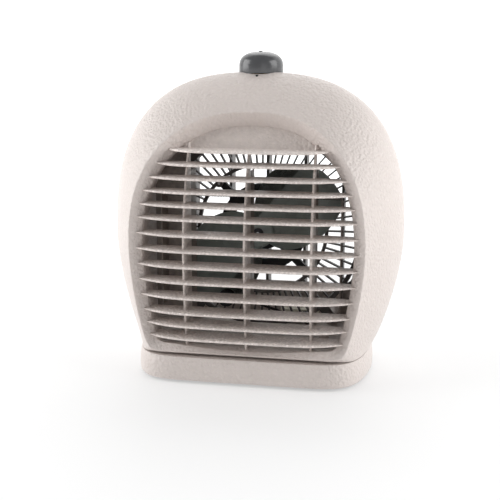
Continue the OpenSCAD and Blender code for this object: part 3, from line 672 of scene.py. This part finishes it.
SCREW_HEAD_R = 3 * MM
SCREW_HEAD_T = 1.8 * MM
WELL_R = 3.4 * MM
WELL_OPEN = 4 * MM
WELL_DEEP = 3 * MM
BOSS_R = 5 * MM
BOSS_L = 12 * MM
BOSS_INSET = 7 * MM
POST_R = 4.2 * MM
TOP_POST_X = 70 * MM
LOW_POST_X = 62 * MM
POST_SHORT = 1.2 * MM
FLOOR_POST_START = 1.5 * MM
FRONT_POST_H = 12 * MM
BACK_POST_H = 8 * MM
GLAND_R = 6.1 * MM


def casing_points():
    """Where the screws join the two halves of the casing, as (x, z)."""
    low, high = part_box("casing_screws")
    points = []
    for z in (low.z + SCREW_HEAD_R, high.z - SCREW_HEAD_R):
        x = shell_half(part_y, z, 0) - BOSS_INSET
        points += [(-x, z), (x, z)]
    return points


def rear_casing():
    """The rear half of the casing with its back, the intake's mouth, the screw holes and the cable's hole."""
    depths = [mix(part_y + SEAM, rear_y, j / REAR_ROWS) for j in range(REAR_ROWS + 1)]
    outer = [rear_row(part_y, SEAM)] + [rear_row(y, 0) for y in depths]
    corner = 6 * MM
    turn = [flat_row(inset(rear, corner * (1 - math.cos(q))), mix(rear_y, back_y, math.sin(q)))
            for q in quarter(8, 1)]
    lip = 1 * MM
    mouth = [flat_row(inset(intake, -corner), back_y)]
    mouth += [flat_row(inset(intake, -lip * (1 - math.sin(q))), back_y - lip * (1 - math.cos(q)))
              for q in quarter(5)]
    wall_y = back_y - wall
    inside = [flat_row(intake, wall_y), flat_row(inset(rear, corner + lip), wall_y)]
    inside += [rear_row(y, wall) for y in depths[::-2]] + [rear_row(part_y, wall)]
    obj = mesh_object("rear_casing_shell", *skin(outer + turn + mouth + inside))
    seat_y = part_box("casing_screws")[1].y - SCREW_HEAD_T
    for x, z in casing_points():
        cut(obj, bar((x, seat_y + WELL_OPEN, z), (x, back_y, z), WELL_R))
    low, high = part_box("cable_gland")
    gland = Vector(((low.x + high.x) / 2, 0, (low.z + high.z) / 2))
    cut(obj, bar((gland.x, rear_y, gland.z), (gland.x, back_y + lip, gland.z), GLAND_R))
    return obj


def inner_posts():
    """Screw wells of the rear casing, and the bosses and posts that the screws go into."""
    seat_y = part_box("casing_screws")[1].y - SCREW_HEAD_T
    parts = []
    for x, z in casing_points():
        parts.append(screw_well(x, z, WELL_R, BOSS_R, seat_y - WELL_DEEP))
        parts.append(bar((x, part_y - BOSS_L, z), (x, part_y, z), BOSS_R))
    guard_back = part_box("fan_guard")[1].y
    low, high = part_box("guard_screws")
    corners = [(TOP_POST_X, high.z - SCREW_HEAD_R), (LOW_POST_X, low.z + SCREW_HEAD_R)]
    parts += [bar((side * x, guard_back, z), (side * x, back_y - POST_SHORT, z), POST_R)
              for x, z in corners for side in (-1, 1)]
    low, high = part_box("plinth_screws")
    rows = [(low.y + SCREW_HEAD_R, FRONT_POST_H), (high.y - SCREW_HEAD_R, BACK_POST_H)]
    x = high.x - SCREW_HEAD_R
    parts += [bar((side * x, y, deck_z + FLOOR_POST_START), (side * x, y, deck_z + h), POST_R)
              for y, h in rows for side in (-1, 1)]
    return mesh_object("inner_posts", *join(*parts))


finish_piece(front_casing(), materials["shell"], "housing", "shell", "front_casing")
finish_piece(knob_seat(), materials["shell"], "housing", "shell")
finish_piece(rear_casing(), materials["shell"], "housing", "shell", "rear_casing", "back_panel")
finish_piece(inner_posts(), materials["shell"], "housing", "shell")


# Base
BASE_STEPS = 26
BASE_EDGE = 2.6 * MM
BASE_EDGE_W = 0.7 * BASE_EDGE
BASE_TUCK = 0.1 * MM
BASE_ROWS = 11
WAIST_START = 2 / 7


def base_row(z, m):
    """A level outline of the base at height z, drawn in by m."""
    share = 0.5 ** (1 / BASE_POWER)
    steps = [share * i / BASE_STEPS for i in range(BASE_STEPS + 1)]
    partner = [(1 - t ** BASE_POWER) ** (1 / BASE_POWER) for t in steps]
    corner = list(zip(partner, steps)) + list(zip(steps, partner))[-2::-1]
    plan = corner + [(-u, v) for u, v in corner[-2::-1]]
    plan += [(-u, -v) for u, v in corner[1:]] + [(u, -v) for u, v in corner[-2:0:-1]]
    return [((base_high.x - m) * u * (1 - BASE_TAPER * v * v), BASE_MID_Y + (BASE_HALF_D - m) * v, z)
            for u, v in plan]


def base_tray():
    """The base, hollow below, with a rounded lower edge and a slight waist under the casing."""
    low_z = base_low.z
    rows = [base_row(deck_z - BASE_EDGE, wall), base_row(low_z, wall)]
    for q in quarter(7):
        tuck = BASE_EDGE_W * (1 - math.sin(q)) + BASE_TUCK
        rows.append(base_row(low_z + BASE_EDGE * (1 - math.cos(q)), tuck))
    for j in range(1, BASE_ROWS + 1):
        t = j / BASE_ROWS
        waist = BASE_WAIST * clamp((t - WAIST_START) / (1 - WAIST_START)) ** 2
        rows.append(base_row(mix(low_z + BASE_EDGE, deck_z, t), waist))
    return mesh_object("base_shell", *capped(rows))


finish_piece(base_tray(), materials["shell"], "housing", "shell", "base_tray")


# Front grille
DOME_Z = 110 * MM
DOME_HALF = 80 * MM
MIDDLE_TAPER = 0.92
BACK_TAPER = 0.85

# Slats
TOP_SLAT_Z = 189.4 * MM
OUTER_PITCH = 10.7 * MM
MIDDLE_PITCH = 12.7 * MM
SLAT_GAPS = [OUTER_PITCH] * 5 + [MIDDLE_PITCH] * 6 + [OUTER_PITCH] * 2
SLAT_T = 2 * MM
SLAT_DEPTH = 24 * MM
SLAT_DOME = 6.5 * MM
LOW_SLAT_DOME = 1.5 * MM
SLAT_POWER = 5
SLAT_STEPS = 60
SLAT_BEDDING = 0.6 * MM
SLAT_BEHIND_BAND = 1 * MM
SLAT_LEAST_REACH = 3 * MM
TIP_INSET = 5 * MM
TIP_T = 0.9 * MM
TIP_TAPER = 0.55
TIP_TAPER_POWER = 14

# Ribs
LEFT_RIB_X = -49.3 * MM
RIGHT_RIB_X = 53 * MM
SIDE_RIB_RISE = 5 * MM
RIB_T = 1.8 * MM
RIB_DOME = 22 * MM
LOW_RIB_DOME = 9 * MM
RIB_SETBACK = 7.8 * MM
RIB_POWER = 1.8
RIB_FOOT = 4.4 * MM
RIB_STEPS = 40
RIB_BACK_Y = front_y + 34 * MM

# Arch panel
PANEL_T = 2 * MM
PANEL_LOW_Y = front_y + 31 * MM
PANEL_SETBACK = 1.2 * MM
PANEL_OVERLAP = 2 * MM
PANEL_BEDDING = 1 * MM
ARCH_STEPS = 40


def bezel():
    """The rounded rim, the sloping band and the throat behind it."""
    inner = crease_row(BAND_W, BAND_DROP)
    tip = crease_row(0, 0)
    start = []
    for c, b in zip(tip, inner):
        c = Vector(c)
        start.append(tuple(c + (Vector(b) - c).normalized() * RIM_ROUND))
    rows = []
    for j in range(RIM_STEPS + 1):
        t = j / RIM_STEPS
        rows.append([tuple((1 - t) ** 2 * Vector(a) + 2 * t * (1 - t) * Vector(c) + t * t * Vector(b))
                     for a, c, b in zip(FIRST_ROW, tip, start)])
    for t in BAND_STOPS:
        rows.append([tuple(Vector(a).lerp(Vector(b), t)) for a, b in zip(start, inner)])
    rows.append(crease_row(BAND_W - BAND_EDGE_W, BAND_DROP - BAND_EDGE_RISE))
    rows.append(crease_row(BAND_W, BAND_DROP + BAND_EDGE_DROP))
    rows.append(throat_row(BAND_W + THROAT_DRAFT))
    rows.append(throat_row(BAND_W - THROAT_WALL))
    rows.append(crease_row(BAND_W - BAND_BACK_W, BAND_DROP + BAND_T))
    rows.append(crease_row(RIM_BACK_W, RIM_T))
    return skin(rows)


def slat_heights():
    """Heights of the slats, from the top one down."""
    heights = [TOP_SLAT_Z]
    for step in SLAT_GAPS:
        heights.append(heights[-1] - step)
    return heights


def slat_front(z):
    """Depth of a slat's front edge in the middle of the grille, which is domed from top to bottom."""
    dome = SLAT_DOME if z > DOME_Z else LOW_SLAT_DOME
    return front_y + dome * ((z - DOME_Z) / DOME_HALF) ** 2


def rib_front(z):
    """Depth of a rib's front edge at height z."""
    dome = RIB_DOME if z > DOME_Z else LOW_RIB_DOME
    return front_y + RIB_SETBACK + dome * (abs(z - DOME_Z) / DOME_HALF) ** RIB_POWER


def nose_loop(front, back, half_t, rounds=7):
    """Section of a thin plate with a round front edge, as (depth, offset) points."""
    points = []
    for j in range(rounds):
        q = math.pi * (j / (rounds - 1) - 0.5)
        points.append((front + half_t * (1 - math.cos(q)), half_t * math.sin(q)))
    middle = (front + half_t + back) / 2
    taper = [(middle, half_t * MIDDLE_TAPER), (back, half_t * BACK_TAPER)]
    return points + taper + [(y, -dz) for y, dz in taper[::-1]]


def slat(z):
    """One bowed slat whose ends run to points on the bezel band."""
    tip_x = width_at(band_line(TIP_INSET), z)
    tip_y = rim_depth(z, TIP_INSET) + BAND_DROP * TIP_INSET / BAND_W
    end_x = width_at(band_line(BAND_W), z) + SLAT_BEDDING
    end_y = rim_depth(z, BAND_W) + BAND_DROP + SLAT_BEHIND_BAND
    bow = tip_y - slat_front(z)
    full = max(slat_front(z) + SLAT_DEPTH, end_y + SLAT_LEAST_REACH)
    rows = []
    for i in range(-SLAT_STEPS, SLAT_STEPS + 1):
        t = math.sin(math.pi / 2 * i / SLAT_STEPS)
        x = tip_x * t
        front = slat_front(z) + bow * abs(t) ** SLAT_POWER
        beyond = (abs(x) - end_x) / (tip_x - end_x)
        back = full if beyond < 0 else mix(end_y, tip_y + TIP_T, beyond)
        half_t = SLAT_T / 2 * (1 - TIP_TAPER * abs(t) ** TIP_TAPER_POWER)
        rows.append([(x, y, z + dz) for y, dz in nose_loop(front, max(back, front + TIP_T), half_t)])
    return capped(rows)


def rib(x, z_top):
    """An upright rib behind the slats, from just above the deck to z_top."""
    rows = []
    for j in range(RIB_STEPS + 1):
        z = mix(deck_z + RIB_FOOT, z_top, j / RIB_STEPS)
        rows.append([(x + dx, y, z) for y, dx in nose_loop(rib_front(z), RIB_BACK_Y, RIB_T / 2)])
    return capped(rows)


def arch_panel():
    """The leaning panel that fills the arch above the top slat."""
    arch = band_line(BAND_W - PANEL_BEDDING)
    low_z = TOP_SLAT_Z - PANEL_OVERLAP
    top_y = crease_depth(crease.mid + crease.rise) + BAND_DROP
    slope = (top_y - PANEL_LOW_Y) / (arch.mid + arch.rise - low_z)
    half = width_at(arch, low_z)
    verts = []
    for back in (PANEL_SETBACK, PANEL_SETBACK + PANEL_T):
        for share in (0.0, 1.0):
            for i in range(-ARCH_STEPS, ARCH_STEPS + 1):
                x = half * math.sin(math.pi / 2 * i / ARCH_STEPS)
                z = mix(low_z, top_at(arch, x), share)
                verts.append((x, PANEL_LOW_Y + (z - low_z) * slope + back, z))
    n = 2 * ARCH_STEPS + 1
    faces = []
    for i in range(n - 1):
        faces.append((i, i + 1, n + i + 1, n + i))
        faces.append((2 * n + i, 3 * n + i, 3 * n + i + 1, 2 * n + i + 1))
        faces.append((n + i, n + i + 1, 3 * n + i + 1, 3 * n + i))
        faces.append((i, 2 * n + i, 2 * n + i + 1, i + 1))
    return verts, faces


grille_parts = [slat(z) for z in slat_heights()]
grille_parts += [rib(x, TOP_SLAT_Z + SIDE_RIB_RISE) for x in (LEFT_RIB_X, RIGHT_RIB_X)]
grille_parts.append(rib(0, TOP_SLAT_Z))
# Slats and ribs wear the lighter slat plastic: painted light on their tops and front edges.
louvre = mesh_object("front_louvre", *join(*grille_parts))
finish_piece(louvre, painted_lit_slat_plastic, "housing", "grille")
finish_piece(mesh_object("arch_panel", *arch_panel()), materials["grille"], "housing", "grille")
finish_piece(mesh_object("front_bezel", *bezel()), materials["shell"], "housing", "grille", "front_grille")


# Knob
KNOB_SIDES = 96
DOME_SHAPE = 2 / 2.5
DOME_ROWS = 36
DRUM_H = 5.4 * MM
HOLLOW_R = 12.5 * MM
HOLLOW_H = 5.4 * MM
KNOB_EDGE = 0.6 * MM


def knob():
    """A short drum under a full dome, with a hollow below."""
    low = knob_low.z
    dome = knob_high.z - low - DRUM_H
    profile = [(HOLLOW_R, HOLLOW_H), (HOLLOW_R, 0), (KNOB_R - KNOB_EDGE, 0)]
    profile += [(KNOB_R - KNOB_EDGE * (1 - math.sin(q)), KNOB_EDGE * (1 - math.cos(q)))
                for q in quarter(4, 1)]
    profile += [(KNOB_R * math.cos(q) ** DOME_SHAPE, DRUM_H + dome * math.sin(q) ** DOME_SHAPE)
                for q in quarter(DOME_ROWS)[:-1]]
    rows = [[(r * c, knob_y + r * s, low + h) for c, s in circle(KNOB_SIDES)] for r, h in profile]
    verts, faces = skin(rows, closed=False)
    n = KNOB_SIDES
    top = len(verts)
    verts.append((0, knob_y, knob_high.z))
    last = (len(rows) - 1) * n
    faces += [(last + i, last + (i + 1) % n, top) for i in range(n)]
    faces.append(tuple(range(n)))
    return mesh_object("selector_knob", verts, faces)


finish_piece(knob(), materials["knob_plastic"], "knob", "knob_plastic", "knob")


# Fan
motor_low, motor_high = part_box("motor_can")
fan_z = (motor_low.z + motor_high.z) / 2
FAN_R = 77 * MM
HUB_R = 13 * MM
BLADE_T = 1.6 * MM
BLADE_FRONT_Y = -1 * MM
BLADE_BACK_Y = 18 * MM
HUB_FRONT_Y = 2 * MM
HUB_BACK_Y = 20 * MM
HUB_EDGE = 2 * MM
HUB_OVERLAP = 2 * MM
SHAFT_R = 1.5 * MM
HUB_SIDES = 72

# Shape of a blade: the angles of its edges in degrees at the hub and how they change along the span,
# how far its tip corners are drawn in, and how much of its depth it takes up at the root and at the tip
LOWER_START = -60
LOWER_SWEEP = 100
LOWER_CURL = -22
UPPER_START = 106
UPPER_SWEEP = -38
UPPER_CURL = -19
UPPER_CURL_POWER = 6
CORNER_CUT = 0.03
CORNER_POWER = 6
ROOT_PITCH = 0.75
TIP_PITCH = 0.9


def blade_point(u, v, side, turn):
    """A point of a petal-shaped twisted blade, across (u) and along its span (v)."""
    lower = LOWER_START + LOWER_SWEEP * v + LOWER_CURL * v * v
    upper = UPPER_START + UPPER_SWEEP * v + UPPER_CURL * v ** UPPER_CURL_POWER
    a = math.radians(mix(lower, upper, u)) + turn
    corner = 1 - CORNER_CUT * (2 * abs(u - 0.5)) ** CORNER_POWER
    r = mix(HUB_R - HUB_OVERLAP, FAN_R * corner, v)
    y = mix(BLADE_FRONT_Y, BLADE_BACK_Y - BLADE_T, mix(0.5, 1 - u, mix(ROOT_PITCH, TIP_PITCH, v)))
    return (r * math.cos(a), y + side * BLADE_T, fan_z + r * math.sin(a))


def blade(turn, across=40, along=16):
    """One blade, turned round the shaft, as vertices and faces."""
    rows = []
    for i in range(across + 1):
        u = i / across
        loop = [blade_point(u, j / along, 0, turn) for j in range(along + 1)]
        loop += [blade_point(u, j / along, 1, turn) for j in range(along, -1, -1)]
        rows.append(loop)
    return capped(rows)


def fan_hub():
    """The hub with its bore, as vertices and faces."""
    profile = [(SHAFT_R, HUB_BACK_Y), (SHAFT_R, HUB_FRONT_Y)]
    profile += [(HUB_R - HUB_EDGE * (1 - math.sin(q)), HUB_FRONT_Y + HUB_EDGE * (1 - math.cos(q)))
                for q in quarter(6)]
    profile.append((HUB_R, HUB_BACK_Y))
    return skin([[(r * c, y, fan_z + r * s) for c, s in circle(HUB_SIDES)] for r, y in profile])


impeller = mesh_object("impeller", *join(blade(0), blade(math.pi), fan_hub()))
finish_piece(impeller, materials["fan_plastic"], "fan", "fan_plastic", "fan_impeller")


# Heating coils
COIL_PITCH = 1.3 * MM
COIL_WIRE_R = 0.2 * MM
COIL_DROP = 7 * MM
FIRST_COIL_SLAT = 3
COILS = 8


def coil(z, y, x0, x1, r, pitch, per_turn=9):
    """Points of a coil of radius r along X."""
    turns = int((x1 - x0) / pitch)
    return [(mix(x0, x1, i / (turns * per_turn)), y + r * math.cos(2 * math.pi * i / per_turn),
             z + r * math.sin(2 * math.pi * i / per_turn)) for i in range(turns * per_turn + 1)]


def heating_coils():
    """Coiled resistance wires, one below each of the middle slats."""
    low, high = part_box("heating_wires")
    y = (low.y + high.y) / 2
    coil_r = (high.y - low.y) / 2 - COIL_WIRE_R
    curve = bpy.data.curves.new("heating_coils", "CURVE")
    curve.dimensions = "3D"
    curve.bevel_depth = COIL_WIRE_R
    curve.bevel_resolution = 0
    for z in slat_heights()[FIRST_COIL_SLAT:FIRST_COIL_SLAT + COILS]:
        points = coil(z - COIL_DROP, y, low.x, high.x, coil_r, COIL_PITCH)
        spline = curve.splines.new("POLY")
        spline.points.add(len(points) - 1)
        for point, place in zip(spline.points, points):
            point.co = (*place, 1)
    obj = bpy.data.objects.new("heating_coils", curve)
    bpy.context.scene.collection.objects.link(obj)
    return obj


finish_piece(heating_coils(), element_wire, "housing", "steel", "heating_wires")


# Stage: floor, light and camera
FLOOR_HALF = 6.0
FLOOR_BEND = 0.9
FLOOR_BEND_Y = 1.3
FLOOR_DARK = (0.45, 0.45, 0.45)
FLOOR_PALE = (0.47, 0.47, 0.47)
# The floor glows from GLOW_NEAR beside the heater to GLOW_FAR far off: painted light.
GLOW_START = 0.1
GLOW_END = 1.6
GLOW_NEAR = 0.46
GLOW_FAR = 1
SKY_STRENGTH = 0.27
LAMP_AIM = Vector((0, 0, 0.12))


def stage_floor():
    """A white sweep: a level floor that curves up into a wall well behind the heater."""
    profile = [(-FLOOR_HALF, 0.0), (-1.0, 0.0), (0.0, 0.0)]
    profile += [(FLOOR_BEND_Y + FLOOR_BEND * math.sin(q), FLOOR_BEND * (1 - math.cos(q)))
                for q in quarter(24)]
    profile.append((FLOOR_BEND_Y + FLOOR_BEND, FLOOR_HALF))
    verts = [(x, y, z) for y, z in profile for x in (-FLOOR_HALF, FLOOR_HALF)]
    faces = [(2 * i, 2 * i + 1, 2 * i + 3, 2 * i + 2) for i in range(len(profile) - 1)]
    floor = mesh_object("floor", verts, faces)
    n = Nodes("floor")
    n.colour(n.ramp(n.noise(scale=3, detail=2), [(0.3, FLOOR_DARK), (0.7, FLOOR_PALE)]))
    distance = n.add("ShaderNodeVectorMath", operation="LENGTH")
    n.link(n.place, distance.inputs[0])
    # Painted light: the floor glows, which lifts the shade round the heater and whitens the far floor.
    glow = n.add("ShaderNodeMapRange", interpolation_type="SMOOTHSTEP")
    n.link(distance.outputs["Value"], glow.inputs["Value"])
    glow.inputs["From Min"].default_value = GLOW_START
    glow.inputs["From Max"].default_value = GLOW_END
    glow.inputs["To Min"].default_value = GLOW_NEAR
    glow.inputs["To Max"].default_value = GLOW_FAR
    n.link(glow.outputs["Result"], n.shader.inputs["Emission Strength"])
    n.set(Roughness=0.6, Specular_IOR_Level=0.15, Emission_Color=(1, 1, 1, 1))
    floor.data.materials.append(n.material)


def stage_light():
    """An even sky and four softboxes. Each has a name, a place, a size in metres and a power in watts."""
    world = bpy.data.worlds.new("studio")
    world.use_nodes = True
    bpy.context.scene.world = world
    sky = world.node_tree.nodes["Background"]
    sky.inputs["Color"].default_value = (1, 1, 1, 1)
    sky.inputs["Strength"].default_value = SKY_STRENGTH
    lamps = (
        ("left_softbox", (-1.5, -0.25, 0.7), 1.2, 21),
        ("right_softbox", (1.6, -0.2, 0.8), 1.2, 19.5),
        ("back_softbox", (0.0, 1.2, 1.6), 1.4, 6),
        ("front_softbox", (0.75, -1.8, 0.4), 0.9, 1.5),
    )
    for name, place, size, power in lamps:
        lamp = bpy.data.lights.new(name, "AREA")
        lamp.shape = "SQUARE"
        lamp.size = size
        lamp.energy = power
        obj = bpy.data.objects.new(name, lamp)
        obj.location = place
        obj.rotation_euler = (LAMP_AIM - Vector(place)).to_track_quat("-Z", "Y").to_euler()
        bpy.context.scene.collection.objects.link(obj)


def stage_camera():
    """The photograph's own view, fitted to its outlines."""
    azimuth = math.radians(10.4)
    drop = math.radians(12.03)
    roll = math.radians(0.15)
    spot = Vector((131.4, -753.2, 262.6)) * MM
    data = bpy.data.cameras.new("camera")
    data.sensor_width = 36
    data.lens = 65.64
    camera = bpy.data.objects.new("camera", data)
    bpy.context.scene.collection.objects.link(camera)
    level = Vector((math.cos(azimuth), math.sin(azimuth), 0))
    ahead = Vector((-math.sin(azimuth) * math.cos(drop), math.cos(azimuth) * math.cos(drop), -math.sin(drop)))
    upright = level.cross(ahead)
    right = level * math.cos(roll) + upright * math.sin(roll)
    up = upright * math.cos(roll) - level * math.sin(roll)
    turn = Matrix((right, up, -ahead)).transposed()
    camera.matrix_world = Matrix.Translation(spot) @ turn.to_4x4()
    bpy.context.scene.camera = camera


stage_floor()
stage_light()
stage_camera()
bpy.context.scene.view_settings.view_transform = "Standard"
